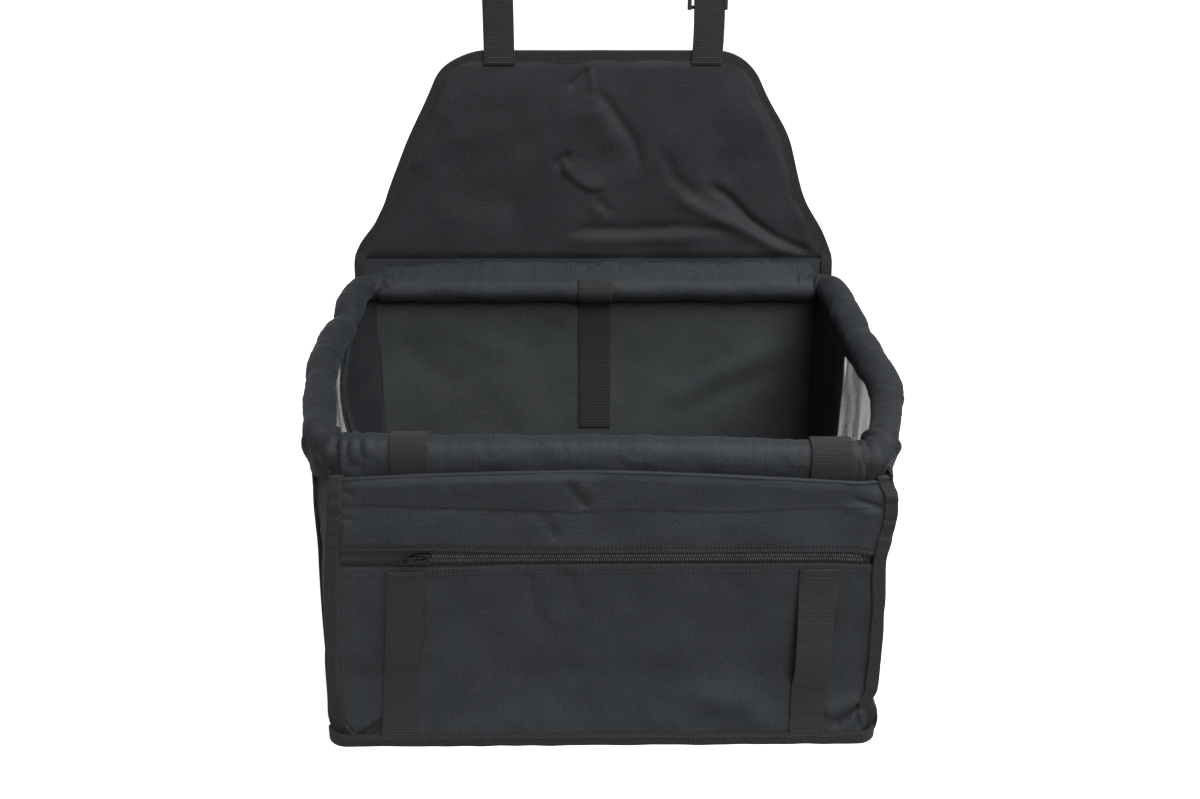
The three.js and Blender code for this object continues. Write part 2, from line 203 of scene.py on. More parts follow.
# ---- meshes ----
class Skin:
    """Gathers grids of points into one mesh with UVs in metres."""

    def __init__(self):
        self.points, self.faces, self.uvs, self.count = [], [], [], 0

    def patch(self, points, uv=None, wrap=False, flip=False):
        """points is (nu, nv, 3). uv is the same grid's (.., 2), with one more row where wrap joins u."""
        nu, nv = points.shape[:2]
        uv = np.zeros((nu + 1, nv, 2)) if uv is None else uv
        rows = nu if wrap else nu - 1
        i, j = np.meshgrid(np.arange(rows), np.arange(nv - 1), indexing="ij")
        corners = [(i, j), (i + 1, j), (i + 1, j + 1), (i, j + 1)]
        if flip:
            corners.reverse()
        at = [((a % nu) * nv + b + self.count).ravel() for a, b in corners]
        self.faces.append(np.stack(at, 1))
        self.uvs.append(np.stack([uv[a.ravel(), b.ravel()] for a, b in corners], 1))
        self.points.append(points.reshape(-1, 3))
        self.count += nu * nv

    def build(self, name, material, weld=0.02, angle=50):
        points = np.concatenate(self.points) * 0.001
        faces = np.concatenate(self.faces)
        mesh = bpy.data.meshes.new(name)
        mesh.from_pydata(points.tolist(), [], faces.tolist())
        layer = mesh.uv_layers.new(name="cloth")
        layer.data.foreach_set("uv", (np.concatenate(self.uvs) * 0.001).ravel())
        if weld:
            work = bmesh.new()
            work.from_mesh(mesh)
            bmesh.ops.remove_doubles(work, verts=work.verts, dist=weld * 0.001)
            bmesh.ops.recalc_face_normals(work, faces=work.faces)
            work.to_mesh(mesh)
            work.free()
        return as_piece(name, mesh, material, angle)


def put(name, data):
    """A new object in the scene."""
    obj = bpy.data.objects.new(name, data)
    bpy.context.scene.collection.objects.link(obj)
    return obj


def as_piece(name, mesh, material, angle):
    mesh.shade_smooth()
    mesh.set_sharp_from_angle(angle=math.radians(angle))
    mesh.materials.clear()
    mesh.materials.append(material)
    obj = put(name, mesh)
    return obj


def close_ends(obj):
    """Fills every open edge loop."""
    work = bmesh.new()
    work.from_mesh(obj.data)
    bmesh.ops.holes_fill(work, edges=[e for e in work.edges if e.is_boundary])
    bmesh.ops.recalc_face_normals(work, faces=work.faces)
    work.to_mesh(obj.data)
    work.free()


def shell(name, face, uv, thick, material, towards):
    """A sheet with thickness. face is the outer grid; towards is a vector that points out of it."""
    out = np.cross(np.gradient(face, axis=0), np.gradient(face, axis=1))
    out /= np.maximum(np.linalg.norm(out, axis=2, keepdims=True), 1e-9)
    if (out * np.array(towards)).sum(2).mean() < 0:
        out = -out
    return two_faced(name, face, face - out * thick, uv, material)


def two_faced(name, face, back, uv, material):
    """A closed body from a front and a back grid, joined round their edges."""
    skin = Skin()
    skin.patch(face, uv)
    skin.patch(back, uv, flip=True)
    for edge in (0, -1):
        skin.patch(np.stack([face[edge], back[edge]], 1), np.stack([uv[edge]] * 2, 1))
        skin.patch(np.stack([face[:, edge], back[:, edge]], 1), np.stack([uv[:, edge]] * 2, 1))
    return skin.build(name, material)


def tube(name, rows, uv, material):
    """A closed body from rows of points along it, the last row joined to the first."""
    skin = Skin()
    skin.patch(rows, uv, wrap=True)
    obj = skin.build(name, material, weld=0)
    close_ends(obj)
    return obj


# Half of a webbing's section, as shares of its half width and half thickness.
WEB_SIDE = (
    (1, -0.4), (0.985, -0.85), (0.93, -1), (0.5, -1), (0, -1),
    (-0.5, -1), (-0.93, -1), (-0.985, -0.85), (-1, -0.4),
)


def ribbon(name, line, across, width, thick, material):
    """Flat webbing or tape along line, with rounded edges. across is the direction of its width."""
    line = np.asarray(line, float)
    across = np.broadcast_to(np.asarray(across, float), line.shape)
    out = unit(np.cross(across, np.gradient(line, axis=0)))
    run = distances(line)
    half = np.broadcast_to(width, len(line)) / 2
    rings, uvs = [], []
    for a, b in WEB_SIDE + tuple((-a, -b) for a, b in WEB_SIDE):
        rings.append(line + across * (a * half)[:, None] + out * (b * thick / 2))
        uvs.append(join(a * half, run))
    uvs.append(uvs[0])
    return tube(name, np.array(rings), np.array(uvs), material)


def rod(name, line, radius, material, sides=12):
    """A round rod along line."""
    along = unit(np.gradient(line, axis=0))
    a = unit(np.cross(along, [0.0, 0.31, 0.95]))
    b = np.cross(along, a)
    turn = np.linspace(0, 2 * math.pi, sides + 1)
    rows = np.array([line + radius * (math.cos(t) * a + math.sin(t) * b) for t in turn[:-1]])
    return tube(name, rows, join(*grid(turn * radius, distances(line))), material)


def stitches(name, line, out=(0, -1, 0), pitch=3.0):
    """A row of stitches along line, each a low rounded bar lying on the cloth. out is away from it."""
    line = np.asarray(line, float)
    out = np.broadcast_to(np.asarray(out, float), line.shape)
    run = distances(line)
    skin = Skin()
    for start in np.arange(pitch / 2, run[-1] - STITCH, pitch):
        ends = []
        for at in (start, start + STITCH):
            p = np.array([np.interp(at, run, line[:, k]) for k in range(3)])
            n = np.array([np.interp(at, run, out[:, k]) for k in range(3)])
            ends.append((p, n / np.linalg.norm(n)))
        (a, na), (b, _) = ends
        side = np.cross((b - a) / np.linalg.norm(b - a), na) * THREAD_THICK / 2
        rows = []
        for t, lift in ((0, -0.3), (0.2, 0.7), (0.8, 0.7), (1, -0.3)):
            p = a + (b - a) * t + na * lift * THREAD_THICK
            low = p - na * THREAD_THICK * 0.6
            rows.append([low - side, p - side * 0.6, p + side * 0.6, low + side])
        skin.patch(np.array(rows))
    return skin.build(name, THREAD, weld=0, angle=80)


# ---- how pieces move ----
def in_place_of(obj, nodes):
    """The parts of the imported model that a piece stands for. Stitches and seams stand for none."""
    if nodes:
        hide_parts(*nodes)
    return obj


def wall(obj, *nodes):
    """A soft wall piece, attached to the base with a mesh of its own."""
    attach(obj, "base")
    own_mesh(obj)
    return in_place_of(obj, nodes)


def on(obj, body, *nodes):
    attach(obj, body)
    return in_place_of(obj, nodes)


def hinged(obj, below, above, bend, *nodes):
    """A piece with its transform baked into its mesh; it does not bend. below, above and bend are not used.
    """
    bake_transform(obj)
    return in_place_of(obj, nodes)


# ---- materials ----
class Paint:
    """A node material under construction, with short ways to make what these materials share."""

    def __init__(self, name):
        self.material = bpy.data.materials.new(name)
        self.material.use_nodes = True
        self.nodes = self.material.node_tree.nodes
        self.links = self.material.node_tree.links
        self.shader = self.nodes["Principled BSDF"]

    def feed(self, value, socket):
        if isinstance(value, bpy.types.NodeSocket):
            self.links.new(value, socket)
        else:
            socket.default_value = value

    def set(self, **values):
        for key, value in values.items():
            self.feed(value, self.shader.inputs[key.replace("_", " ")])

    def add(self, kind, *values, **named):
        """A new node, with numbers or links for its first inputs or for the named ones."""
        made = self.nodes.new(f"ShaderNode{kind}")
        for index, value in enumerate(values):
            self.feed(value, made.inputs[index])
        for key, value in named.items():
            self.feed(value, made.inputs[key])
        return made

    def math(self, operation, *values):
        made = self.add("Math", *values)
        made.operation = operation
        return made.outputs[0]

    def cloth_axes(self):
        """The UV vector in metres, and U and V in millimetres."""
        source = self.add("UVMap")
        source.uv_map = "cloth"
        split = self.add("SeparateXYZ", source.outputs[0])
        u, v = (self.math("MULTIPLY", split.outputs[k], 1000.0) for k in (0, 1))
        return source.outputs[0], u, v

    def sine(self, value, length):
        return self.math("SINE", self.math("MULTIPLY", value, 2 * math.pi / length))

    def wave(self, value, pitch):
        """Rises and falls between 0 and 1 once a pitch."""
        return self.math("MULTIPLY_ADD", self.sine(value, pitch), 0.5, 0.5)

    def noise(self, vector, scale, detail=3.0):
        return self.add("TexNoise", Vector=vector, Scale=scale, Detail=detail).outputs["Fac"]

    def between(self, value, low, high, start, end):
        """Takes value from the range low to high to the range start to end."""
        return self.add("MapRange", value, low, high, start, end).outputs[0]

    def uneven(self, value, roughness):
        """Roughness that varies a little with a broad noise."""
        self.set(Roughness=self.between(value, 0.3, 0.7, roughness - 0.06, roughness + 0.08))

    def colour(self, value, low, high, dark, light):
        """Base colour from dark to light as value goes from low to high."""
        made = self.add("ValToRGB", value)
        for stop, at, tone in zip(made.color_ramp.elements, (low, high), (dark, light)):
            stop.position = at
            stop.color = (*tone, 1)
        self.set(Base_Color=made.outputs[0])

    def relief(self, *layers):
        """Bump layers, each (height, distance in mm, strength)."""
        last = None
        for height, distance, strength in layers:
            made = self.add("Bump", Height=height, Distance=distance * 0.001, Strength=strength)
            if last is not None:
                self.links.new(last, made.inputs["Normal"])
            last = made.outputs[0]
        self.set(Normal=last)


def oxford(name, dark, light, pitch=0.62, roughness=0.55):
    """Plain-weave polyester: warp and weft threads that take turns on top, and soft blotches of tone."""
    p = Paint(name)
    uv, u, v = p.cloth_axes()
    checks = p.math("MULTIPLY", p.sine(u, 2 * pitch), p.sine(v, 2 * pitch))
    over = p.math("MULTIPLY_ADD", checks, 0.5, 0.5)
    under = p.math("SUBTRACT", 1.0, over)
    weft = p.math("MULTIPLY", p.wave(v, pitch), under)
    weave = p.math("MULTIPLY_ADD", p.wave(u, pitch), over, weft)
    blotch = p.noise(uv, 24.0)
    grain = p.noise(uv, 650.0, 2.0)
    tone = p.math("MULTIPLY_ADD", blotch, 0.35, p.math("MULTIPLY", weave, 0.25))
    tone = p.math("MULTIPLY_ADD", grain, 0.6, tone)
    p.colour(tone, 0.4, 0.8, dark, light)
    p.uneven(blotch, roughness)
    p.set(Specular_IOR_Level=0.16, Sheen_Weight=0.05, Sheen_Roughness=0.4, Sheen_Tint=(0.8, 0.9, 1.0, 1))
    p.relief((p.noise(uv, 40.0, 5.0), 1.6, 0.5), (grain, 0.35, 0.5), (weave, 0.12, 0.5))
    return p.material


def webbing(name, dark, light, pitch=1.5):
    """Ribs across the width, each split into threads along it."""
    p = Paint(name)
    uv, u, v = p.cloth_axes()
    height = p.math("MULTIPLY_ADD", p.wave(u, pitch * 0.7), 0.5, p.wave(v, pitch))
    fuzz = p.noise(uv, 600.0, 2.0)
    p.colour(p.math("MULTIPLY_ADD", height, 0.35, p.math("MULTIPLY", fuzz, 0.7)), 0.3, 0.9, dark, light)
    p.set(Roughness=0.7, Specular_IOR_Level=0.25, Sheen_Weight=0.05)
    p.relief((height, 0.3, 0.8), (fuzz, 0.15, 0.5))
    return p.material


def edge_tape(name, dark, light):
    """Grosgrain: fine ribs across the tape and a fuzzy surface."""
    p = Paint(name)
    uv, u, v = p.cloth_axes()
    ribs = p.wave(v, 0.9)
    fuzz = p.noise(uv, 450.0, 3.0)
    p.colour(p.math("MULTIPLY_ADD", ribs, 0.3, p.math("MULTIPLY", fuzz, 0.8)), 0.3, 0.8, dark, light)
    p.set(Roughness=0.78, Specular_IOR_Level=0.25, Sheen_Weight=0.04)
    p.relief((p.noise(uv, 90.0, 4.0), 0.8, 0.5), (ribs, 0.15, 0.6), (fuzz, 0.25, 0.5))
    return p.material


def net(name, thread, pitch=2.0, share=0.33):
    """An open net of diamond holes: the threads are solid and the holes let everything through."""
    p = Paint(name)
    uv, u, v = p.cloth_axes()
    bars = p.math("MAXIMUM", p.wave(p.math("ADD", u, v), pitch), p.wave(p.math("SUBTRACT", u, v), pitch))
    p.set(Alpha=p.between(bars, 0.94 - share, 1.06 - share, 0.0, 1.0))
    p.set(Base_Color=(*thread, 1), Roughness=0.5, Specular_IOR_Level=0.4)
    p.relief((bars, 0.3, 0.6))
    return p.material


def moulded(name, colour, roughness, grain=0.05, metal=0.0):
    """Hard parts: a fine grain, slightly uneven gloss, and a little worn lightness."""
    p = Paint(name)
    place = p.add("TexCoord").outputs["Object"]
    broad = p.noise(place, 90.0)
    p.colour(broad, 0.35, 0.7, colour, tuple(min(1, c * 1.4 + 0.003) for c in colour))
    p.uneven(broad, roughness)
    p.set(Metallic=metal, Specular_IOR_Level=0.45)
    p.relief((p.noise(place, 2500.0, 2.0), grain, 0.5))
    return p.material


OXFORD = oxford("oxford", (0.0105, 0.0122, 0.0142), (0.0310, 0.0340, 0.0375), roughness=0.62)
# A darker copy of the oxford: painted shade on the flap, the side strips and the side sleeves.
SHADED_CLOTH = oxford("oxford_shaded", (0.0076, 0.0087, 0.0103), (0.0222, 0.0244, 0.0270), roughness=0.62)
# A lighter copy of the oxford: painted light on the back wall and on the front's lining.
LIT_LINING = oxford("oxford_lining_lit", (0.0185, 0.0210, 0.0228), (0.0480, 0.0520, 0.0550), roughness=0.68)
PADDING = oxford("oxford_pad", (0.010, 0.011, 0.012), (0.026, 0.028, 0.030), pitch=0.8, roughness=0.66)
EDGE_TAPE = edge_tape("grosgrain", (0.0075, 0.0075, 0.0070), (0.0215, 0.0215, 0.0205))
FLAP_EDGING = edge_tape("grosgrain_flap", (0.0055, 0.0055, 0.0050), (0.0155, 0.0155, 0.0145))
STRAP_WEB = webbing("strap_weave_dark", (0.0050, 0.0050, 0.0048), (0.0165, 0.0165, 0.0160))
WEB = webbing("strap_weave", (0.0064, 0.0064, 0.0061), (0.0215, 0.0215, 0.0208))
NET = net("side_net", (0.05, 0.052, 0.055))
THREAD = moulded("thread", (0.016, 0.016, 0.0165), 0.5)
COIL = moulded("nylon_coil", (0.038, 0.039, 0.041), 0.36)
BUCKLE = moulded("buckle", (0.011, 0.011, 0.011), 0.42)
PIPE = moulded("pipe", (0.60, 0.59, 0.56), 0.4)
BOARD = moulded("board", (0.06, 0.062, 0.065), 0.6, grain=0.3)
GUNMETAL = moulded("gunmetal", (0.03, 0.03, 0.032), 0.26, metal=0.85)


# ---- the front wall ----
def front_edge(s, z):
    """How far out the front's side edge is: the whole front leans a little to the right as it goes up."""
    if s < 0:
        return 197.5 - 14 * (np.clip(z, 0, None) / 214) ** 1.7 - 3.5 * smooth((24 - z) / 22)
    upper = 1.8 * bump(z, 188, 18) - 2.6 * bump(z, 145, 22) - 4 * smooth((z - 199) / 12)
    return 197 + upper - 3.6 * bump(z, 31, 7) + 1.6 * bump(z, 16, 9) - 2.5 * smooth((8 - z) / 8)


def front_x(u, z, inset):
    """x at a share u, from -1 to 1, across the front."""
    left, right = -front_edge(-1, z) + inset, front_edge(1, z) - inset
    return left + (right - left) * (u + 1) / 2


def front_top(x):
    """Height of the seam under the front sleeve, which droops towards both ends."""
    return 219 - np.where(x < 0, 5.6 * (x / 184) ** 2, 10.5 * (np.abs(x) / 187) ** 1.25)


def top_lean(x, z):
    """The top corners of the front lean back to meet the sleeve."""
    return 5 * smooth((z - front_top(x) + 9) / 11) * smooth((np.abs(x) - 170) / 20)


def corner_y(x, z):
    """The bottom corners are rounded in plan."""
    return 5.5 * smooth((np.abs(x) - 181) / 17) ** 1.5 * smooth((44 - z) / 34)


def inside(x, z):
    """Fades the folds out just before the taped edges."""
    return smooth((np.minimum(x + front_edge(-1, z), front_edge(1, z) - x) - 4) / 9)


def pocket_top(x):
    """Height of the pocket's hem, below the zip."""
    return 148.2 - 1.7 * smooth((-50 - x) / 60) - 1.6 * smooth((x - 150) / 40)


def upper_low(x):
    """Height of the upper panel's hem, above the zip."""
    return 156.9 + 2.3 * smooth((-30 - x) / 90) - 2.8 * smooth((x - 170) / 20)


# Folds as height, line of x and z, width and maybe fade. A positive height goes in, a negative one bulges.
POCKET_SAGS = (
    (-4.0, ((36, 4), (70, 36), (100, 32), (132, 6)), 12),
    (-1.6, ((-95, 8), (-60, 22), (-20, 26)), 12),
)
POCKET_PINCHES = (
    (1.3, ((-53, 145), (-45, 96)), 4),
    (-1.1, ((-40, 145), (-32, 92)), 6),
    (1.0, ((-26, 145), (-14, 104)), 5),
)
POCKET_TUCKS = (
    (7.0, ((-194, 24), (-188, 11), (-182, 6)), 4.0, 0.1),
    (6.0, ((-177, 4), (-167, 10), (-157, 18)), 3.2, 0.15),
    (7.0, ((190, 31), (180, 23.5), (166, 13)), 2.8, 0.15),
    (-3.0, ((186, 37), (172, 30), (158, 22)), 5.5),
    (3.0, ((184, 22), (186, 8)), 2.2),
)
UPPER_FOLDS = (
    (2.4, ((-25, 214), (-19, 203), (-11, 190)), 3),
    (-1.4, ((-14, 213), (-6, 200)), 5),
    (1.6, ((-43, 189), (-31, 167)), 4),
    (2.0, ((168, 198), (180, 194), (191, 190)), 2.2),
    (-1.0, ((160, 192), (188, 186)), 3.5),
    (1.2, ((-181, 207), (-166, 203)), 2.5),
    (1.0, ((-181, 186), (-168, 184)), 2.5),
)


def pocket_y(x, z):
    """Outer face of the pocket panel: hollow under the zip, full below, tucked at its lower corners."""
    y = 2.4 * bump(z, 96, 36) * (1 - (x / 205) ** 4) - 1.4 * np.clip((62 - z) / 60, 0, 1) ** 1.4
    y = y - 5.6 * smooth((36 - z) / 44) + 1.6 * bump(z, 56, 14)
    y = creased(y, x, z, POCKET_SAGS)
    y = y - 1.0 * ripples(x, z, 95, 3) * np.sin(math.pi * np.clip(z / 148, 0, 1))
    y = y - 0.3 * ripples(x, z, 26, 4)
    y = creased(y, x, z, POCKET_PINCHES)
    tuck = -4.6 * lip(x, z, [(-178, 7), (-188, 20.5), (-198, 35)], 1.6, 12, 0.12)
    tuck = creased(tuck, x, z, POCKET_TUCKS)
    hem = smooth((z - (pocket_top(x) - 8)) / 3)
    return FRONT_Y + (y * (1 - 0.9 * hem) + tuck) * inside(x, z) - 0.5 * hem + corner_y(x, z)


def upper_y(x, z):
    """Outer face of the panel above the zip, with a long sagging crease a third of the way down."""
    left_part = 188.9 + 6.6 * np.clip((-13 - x) / 164, 0, 1)
    down = np.where(x < -13, left_part, 191 - 2.8 * bump(x, 82, 34) - 2 * bump(x, -8, 14))
    depth = (0.6 + 0.4 * smooth((5 - x) / 25)) * smooth((192 - np.abs(x)) / 14)
    hollow = 3.8 * (1 - np.exp(-np.abs(z - down) / 15)) * smooth((front_top(x) + 2 - z) / 8)
    fold = 1.5 * smooth((z - down + 0.9) / 1.8) * np.exp(-np.clip(z - down, 0, None) / 4)
    y = creased(-depth * (hollow + fold), x, z, UPPER_FOLDS)
    y = y - 0.7 * ripples(x, z, 70, 8, stretch=0.6) - 0.2 * ripples(x, z, 24, 9)
    hem = smooth((upper_low(x) + 7 - z) / 3)
    return FRONT_Y + y * (1 - 0.9 * hem) * inside(x, z) - 0.5 * hem + top_lean(x, z)


def front_panels():
    us = span(-1, 1, 1 / 125)
    us = us * (1.35 - 0.35 * us**2)  # closer together near the side edges, where the folds are
    u, t = grid(us, span(0, 1, 1 / 90))
    x = front_x(u, 150, 4)
    z = WALL_BOTTOM + (pocket_top(x) - WALL_BOTTOM) * t
    x = front_x(u, z, 4)
    face = join(x, pocket_y(x, z), z)
    wall(shell("pocket_panel_cloth", face, join(x, z), 1.1, OXFORD, (0, -1, 0)), "pocket_panel")
    u, t = grid(us, span(0, 1, 1 / 64))
    x = front_x(u, 190, 4)
    z = upper_low(x) + (front_top(x) - upper_low(x)) * t
    x = front_x(u, z, 4)
    face = join(x, upper_y(x, z), z)
    wall(shell("front_upper_cloth", face, join(x, z), 1.1, OXFORD, (0, -1, 0)), "front_upper_panel")
    x = span(-183, 193, 3)
    z = front_top(x) + 0.2
    wall(rod("front_seam_piping", join(x, FRONT_Y + 0.4 + top_lean(x, z), z), 1.4, OXFORD, 8))
    x = span(-180, 188, 4)
    seams = (("low", pocket_y, pocket_top, (-1.6, -6.4)), ("high", upper_y, upper_low, (1.6, 6.0)))
    for panel, face_y, hem, rows in seams:
        for number, rise in enumerate(rows, 1):
            z = rise + hem(x)
            line = join(x, face_y(x, z) - 0.05, z)
            wall(stitches(f"zip_seam_{panel}_{number}", line, pitch=2.8))
    u, z = grid(us[::2], span(WALL_BOTTOM, 207, 4))
    x = front_x(u, z, 5)
    face = join(x, LINING_Y + 0.6 * ripples(x, z, 90, 12), z)
    wall(shell("front_lining_cloth", face, join(x, z), 1.2, LIT_LINING, (0, 1, 0)), "front_lining")


def front_bindings():
    for side, s in SIDES:
        z = span(3, 216 if s < 0 else 213, 1.3)
        pucker = smooth((z - 140) / 40)
        x = s * (front_edge(s, z) - 4.2) + 0.4 * ripples(z, 0, 60, 20 + s)
        y = FRONT_Y - 0.1 - 0.7 * pucker * ripples(z, 0, 9, 24 + s)
        y = y + corner_y(x * 1.02, z) + top_lean(x, z)
        line = join(x, y, z)
        width = 9.4 + 0.5 * ripples(z, 0, 30, 30 + s) + 0.5 * pucker * ripples(z, 0, 8, 34)
        obj = ribbon(f"{side}_front_binding_tape", line, (1, 0, 0), width, 3.4, EDGE_TAPE)
        wall(obj, f"{side}_front_binding")
        wall(stitches(f"{side}_front_binding_thread", line + np.array([-s * 3.0, -1.7, 0])))
        x = x - s * 8
        beside = join(x, np.where(z < ZIP_Z, pocket_y(x, z), upper_y(x, z)) - 0.1, z)
        wall(stitches(f"{side}_front_seam_thread_low", beside[(z > 30) & (z < 144)]))
        wall(stitches(f"{side}_front_seam_thread_high", beside[(z > 162) & (z < 206)]))


# Each belt strap's x at the top and bottom, how far it hangs out, and where its slack gathers.
BELTS = {"left": (-136, -147, 1.6, 50), "right": (149, 147, 9, 43)}


def belt_straps():
    for side, (top, low, slack, gather) in BELTS.items():
        z = span(5, 143, 1.2)
        t = (z - z[0]) / (z[-1] - z[0])
        x = low + (top - low) * t
        loose = slack * smooth((z[-1] - z) / (z[-1] - gather - 20)) * np.clip((z - gather) / 19, 0, 1) ** 1.4
        under = np.minimum(pocket_y(x, z), np.minimum(pocket_y(x - 11, z), pocket_y(x + 11, z)))
        line = join(x, under - 0.9 - loose, z)
        width = WEBBING + 2.0 * smooth((z - 90) / 50)
        wall(ribbon(f"{side}_belt_webbing", line, (1, 0, 0), width, 1.5, WEB), f"{side}_belt_strap")
        for row, height in (("a", z[-1] - 2.5), ("b", z[-1] - 6.5), ("c", 10)):
            across = np.interp(height, z, x) + span(-11, 11, 3)
            row_line = join(across, np.interp(height, z, line[:, 1]) - 0.8, height)
            wall(stitches(f"{side}_belt_stitch_{row}", row_line, pitch=2.4))


# ---- the zip ----
def zip_line(x):
    return ZIP_Z - 1.6 * smooth((x - 150) / 40)


def zip_parts():
    for half, s in (("upper", 1), ("lower", -1)):
        u, v = grid(span(-180, 184, 3), span(0, 1, 1 / 6))
        z = zip_line(u) + s * (2.8 + 9.2 * v)
        y = ZIP_TAPE_Y - 0.6 * bump(v, 0, 0.2) + 0.15 * ripples(u, z, 40, 41)
        obj = shell(f"zip_tape_{half}_weave", join(u, y, z), join(z, u), 0.8, EDGE_TAPE, (0, -1, 0))
        with_zip(obj, f"zip_tape_{half}")
        with_zip(coil_teeth(f"zip_coil_{half}_teeth", s), f"zip_coil_{half}")


def with_zip(obj, node):
    """A part of the closed zip, which goes down with the zip body; it has a mesh of its own."""
    on(obj, "zip", node)
    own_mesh(obj)


def coil_teeth(name, s):
    """Half of a nylon coil: one bent bar a turn, each reaching just past the middle to lock."""
    skin = Skin()
    pitch, size = 1.5, 0.42
    bends = np.linspace(0, math.pi, 5)
    ring = np.linspace(0, 2 * math.pi, 7)[:-1]
    sideways = np.array([1.0, 0, 0])
    for x in np.arange(-129 + (0 if s > 0 else pitch / 2), 178, pitch):
        rows = []
        for a in bends:
            centre = np.array([x, ZIP_COIL_Y - 1.3 * np.sin(a), zip_line(x) + s * (1.45 + 1.25 * np.cos(a))])
            outward = np.array([0, -np.sin(a), s * np.cos(a)])
            rows.append([centre + size * (np.cos(r) * outward + np.sin(r) * sideways) for r in ring])
        skin.patch(np.array(rows).transpose(1, 0, 2), wrap=True)
    return skin.build(name, COIL, weld=0, angle=80)


# ---- the sides ----
def rim_line(s):
    return smooth_line(LEFT_RIM if s < 0 else RIGHT_RIM, 1.6) * np.array([s, 1, 1])


def rim_x(s, y):
    line = rim_line(s)
    return np.interp(y, line[:, 1], np.abs(line[:, 0]))


def side_x(s, y, z):
    """How far out the side is: a slack sheet from the front's edge to the back wall's, under the rim."""
    t = (z - WALL_BOTTOM) / (WALL_TOP - WALL_BOTTOM)
    upright = (1 - smooth((y + 110) / 90)) * (s < 0)
    lean = smooth(t * (1.1 + 0.3 * upright) - 0.4 * upright)
    middle = 199 + (rim_x(s, np.clip(y, -120, 125)) + 2 - 199) * lean
    middle = middle + 2.5 * np.sin(math.pi * np.clip(t, 0, 1))
    if s < 0:
        middle = middle + 9 * bump(y, 104, 55) * bump(z, 145, 55)
        middle = middle + 7 * bump(y, -98, 40) * smooth((z - 140) / 45)
    near_front = 1 - smooth((y + 171) / 46)
    near_back = 1 - smooth((169 - y) / 50)
    return middle * (1 - near_front - near_back) + (front_edge(s, z) + 0.5) * near_front + 193 * near_back


def hem_low(s, y):
    """Height of the side sleeve's lower hem, where the net begins."""
    return 202 - 0.137 * y if s > 0 else 204 - 0.04 * y


def side_piece(name, s, ys, low, high, seed):
    """A fabric part of a side. Without a low it begins at the side sleeve's hem."""
    y, t = grid(ys, span(0, 1, 1 / 48))
    low = hem_low(s, y) if low is None else low
    z = low + (high - low) * t
    x = side_x(s, y, z) + 0.7 * ripples(y, z, 40, seed, stretch=2) + 0.5
    return shell(name, join(s * x, y, z), join(y, z), 1.8, SHADED_CLOTH, (s, 0, 0))


def sides():
    start, end = NET_Y
    for side, s in SIDES:
        seed = 50 if s < 0 else 60
        strips = (
            ("front_strip", span(-170, start, 1.8), WALL_BOTTOM, 219 if s < 0 else 215, 0),
            ("back_strip", span(end, 169, 2), WALL_BOTTOM, WALL_TOP, 1),
            ("lower_strip", span(start + 0.5, end - 0.5, 4), WALL_BOTTOM, NET_BOTTOM + 0.5, 2),
        )
        for part, ys, low, high, number in strips:
            wall(side_piece(f"{side}_{part}_cloth", s, ys, low, high, seed + number), f"{side}_side_{part}")
        wall(side_piece(f"{side}_top_hem_cloth", s, span(start - 3, end + 1, 3), None, WALL_TOP, seed + 4))
        side_net(side, s, seed + 3)


def side_net(side, s, seed):
    """The net and the tapes along three of its edges."""
    start, end = NET_Y
    skin = Skin()
    y, t = grid(span(start - 2, end + 2, 4), span(0, 1, 1 / 40))
    z = NET_BOTTOM - 3 + (hem_low(s, y) + 6 - NET_BOTTOM) * t
    x = side_x(s, y, z) - 0.6 + 0.8 * ripples(y, z, 50, seed, stretch=1.6)
    for inward in (0, 0.4):
        skin.patch(join(s * (x - inward), y, z), join(y, z))
    wall(skin.build(f"{side}_net", NET, weld=0), f"{side}_side_mesh")
    for edge, y in zip(("front", "back"), NET_Y):
        z = span(NET_BOTTOM, hem_low(s, y), 3)
        line = join(s * (side_x(s, y, z) + 0.9), y, z)
        wall(ribbon(f"{side}_net_{edge}_tape", line, (0, 1, 0), 8, 1.6, EDGE_TAPE))
    y = span(start, end, 4)
    line = join(s * (side_x(s, y, NET_BOTTOM + 0 * y) + 0.9), y, NET_BOTTOM)
    wall(ribbon(f"{side}_net_low_tape", line, (0, 0, 1), 8, 1.6, EDGE_TAPE))


# ---- the back ----
# As the front's folds, but here a positive height goes back.
BACK_FOLDS = (
    (-2.2, ((60, 110), (110, 140), (165, 165)), 10),
    (1.6, ((70, 95), (120, 122), (170, 140)), 8),
    (1.2, ((-180, 175), (-120, 120)), 12),
    (-1.0, ((-150, 190), (-60, 150)), 10),
)


def wall_back_y(x, z):
    return creased(BACK_Y + 1.2 * ripples(x, z, 110, 71), x, z, BACK_FOLDS)


def back_wall():
    x, z = grid(span(-192, 192, 4), span(WALL_BOTTOM, WALL_TOP, 4))
    face = join(x, wall_back_y(x, z), z)
    wall(shell("back_wall_cloth", face, join(x, z), 2.4, LIT_LINING, (0, -1, 0)), "back_wall")
    for side, s in SIDES:
        z = span(WALL_BOTTOM, 214, 3)
        line = join(s * 194, ROOT_Y, z)
        obj = ribbon(f"{side}_back_binding_tape", line, (1, 0, 0), 8, 4.4, EDGE_TAPE)
        wall(obj, f"{side}_back_binding")


def tether():
    """Wide webbing sewn over the back sleeve, from near its top, that runs on down the wall."""
    turn = np.linspace(math.radians(122), math.radians(243), 36)
    out, rise = section(turn, BACK_R + 1.2, 16.5, 9)
    wrap = join(TETHER_X, BACK_CENTRE[0] + out, BACK_CENTRE[1] + rise)
    z = span(203, 86, 3)
    down = join(TETHER_X, np.minimum(wall_back_y(-16, z), wall_back_y(12, z)) - 1.0, z)
    line = even(np.concatenate([wrap, down]), 2)
    wall(ribbon("tether_webbing", line, (1, 0, 0), 28.3, 1.5, WEB), "tether_strap")


